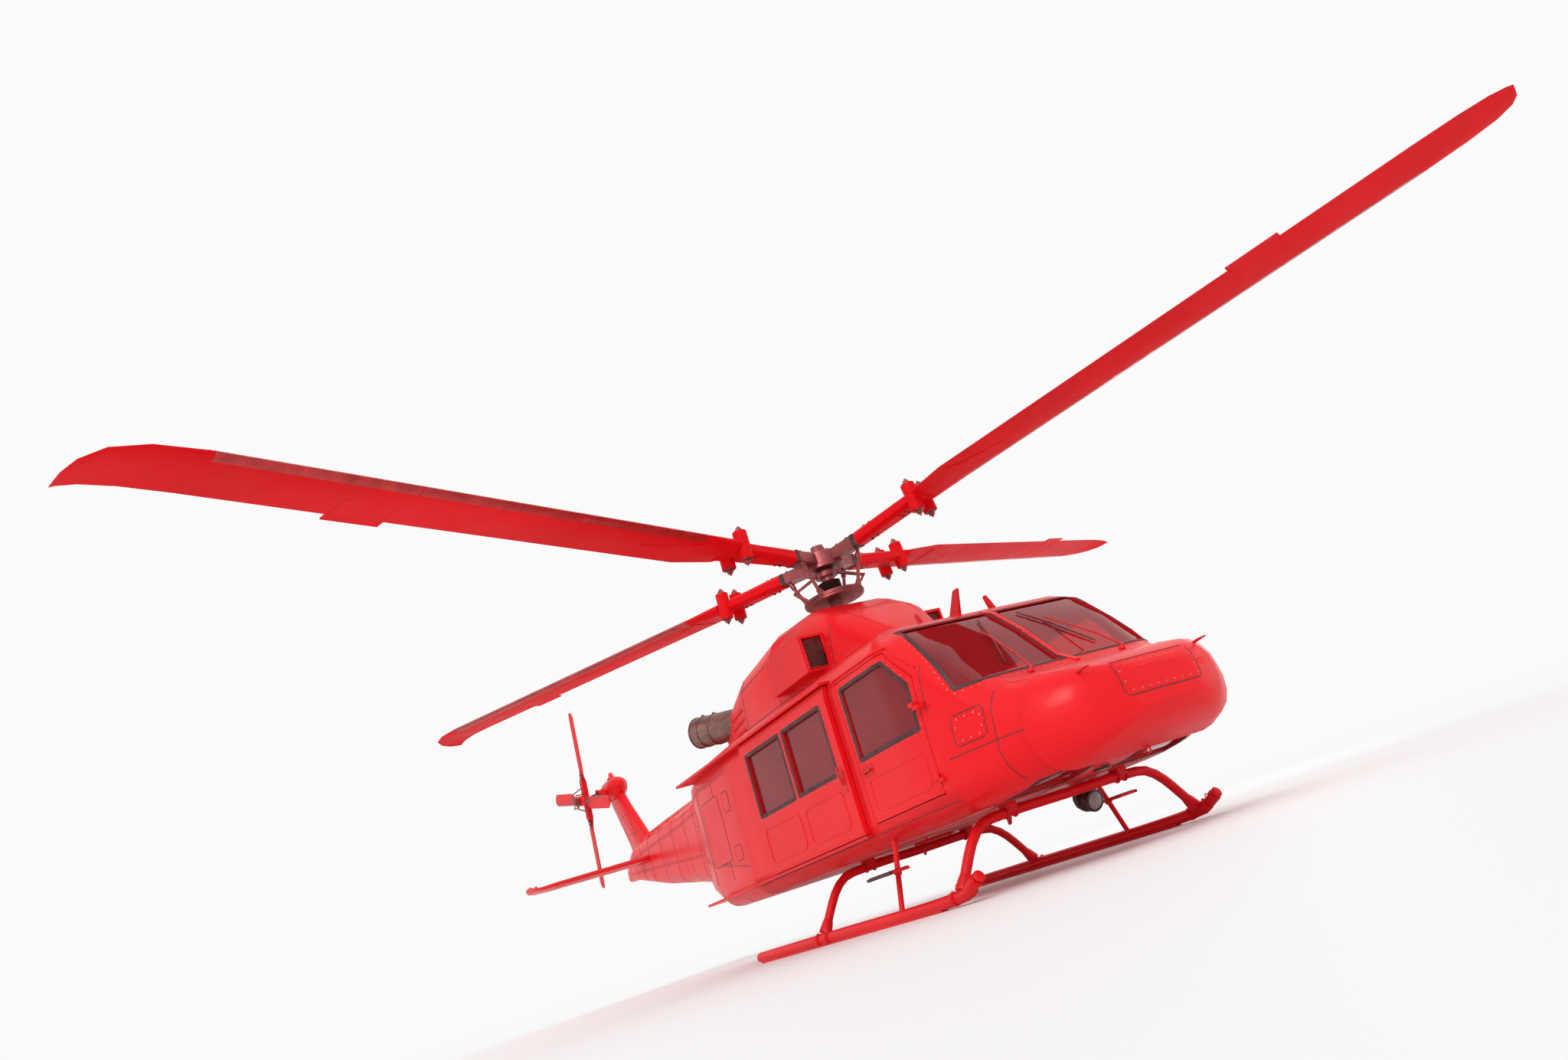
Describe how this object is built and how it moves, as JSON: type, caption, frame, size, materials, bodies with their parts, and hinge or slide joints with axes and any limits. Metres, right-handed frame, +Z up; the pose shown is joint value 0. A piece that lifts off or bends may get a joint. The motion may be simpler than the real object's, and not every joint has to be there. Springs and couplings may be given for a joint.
{
  "type": "utility helicopter",
  "caption": "Utility helicopter standing on skids, with a coned main rotor, a tail rotor on the starboard side, a hollow cabin, hinged crew doors and sliding cabin doors.",
  "frame": {"origin": "on the ground under the centre of the whole object's box, 1.6984 m behind the mast axis", "axes": "+X towards the nose, +Y to port, +Z up"},
  "size_m": [17.2471, 13.8502, 4.712],
  "materials": {
    "paint": "semi-gloss",
    "belly": "satin",
    "blades": "satin",
    "tail_blades": "satin",
    "gear": "satin",
    "hub": "satin",
    "fittings": "satin",
    "engine": "matt",
    "exhaust": "heat stained",
    "panel": "matt",
    "cloth": "woven",
    "lamp": "satin",
    "beacon": "clear red",
    "glass": "tinted"
  },
  "bodies": {
    "airframe": {"nose_shell": "paint", "cabin_shell": "paint", "cabin_floor": "belly", "aft_fuselage": "paint", "tail_boom": "paint", "tail_fin": "paint", "tail_gearbox": "paint", "beacon": "beacon", "mast_fairing": "paint", "engine_cowling": "paint", "gearbox_block": "engine", "engine_block": "engine", "instrument_panel": "panel", "bench_seat": "cloth", "search_lamp": "lamp", "wire_cutter": "fittings", "cross_tube_front": "gear", "cross_tube_rear": "gear", "windscreen_left": "glass", "chin_window_left": "glass", "crew_seat_left": "cloth", "stabiliser_left": "paint", "exhaust_left": "exhaust", "skid_left": "gear", "windscreen_right": "glass", "chin_window_right": "glass", "crew_seat_right": "cloth", "stabiliser_right": "paint", "exhaust_right": "exhaust", "skid_right": "gear"},
    "main_rotor": {"rotor_hub": "hub", "main_blade_1": "blades", "main_blade_2": "blades", "main_blade_3": "blades", "main_blade_4": "blades"},
    "tail_rotor": {"tail_rotor_inner": "tail_blades", "tail_rotor_outer": "tail_blades"},
    "crew_door_left": {"crew_door_left": "paint", "crew_door_glass_left": "glass"},
    "cabin_door_left": {"cabin_door_left": "paint", "cabin_door_glass_left": "glass"},
    "crew_door_right": {"crew_door_right": "paint", "crew_door_glass_right": "glass"},
    "cabin_door_right": {"cabin_door_right": "paint", "cabin_door_glass_right": "glass"}
  },
  "joints": [
    {"name": "main_rotor_spin", "type": "hinge", "parent": "airframe", "child": "main_rotor", "pos_m": [1.6984, 0, 3.75], "axis": [0, 0, 1], "continuous": true},
    {"name": "tail_rotor_spin", "type": "hinge", "parent": "airframe", "child": "tail_rotor", "pos_m": [-7.1616, -0.45, 3.25], "axis": [0, 1, 0], "continuous": true},
    {"name": "crew_door_left_hinge", "type": "hinge", "parent": "airframe", "child": "crew_door_left", "pos_m": [4.2944, 1.26103, 1.26], "axis": [0, 0, -1], "range_deg": [0, 80]},
    {"name": "cabin_door_left_slide", "type": "slide", "parent": "airframe", "child": "cabin_door_left", "axis": [-1, 0, 0], "range_m": [0, 1.85]},
    {"name": "crew_door_right_hinge", "type": "hinge", "parent": "airframe", "child": "crew_door_right", "pos_m": [4.2944, -1.26103, 1.26], "axis": [0, 0, 1], "range_deg": [0, 80]},
    {"name": "cabin_door_right_slide", "type": "slide", "parent": "airframe", "child": "cabin_door_right", "axis": [-1, 0, 0], "range_m": [0, 1.85]}
  ]
}
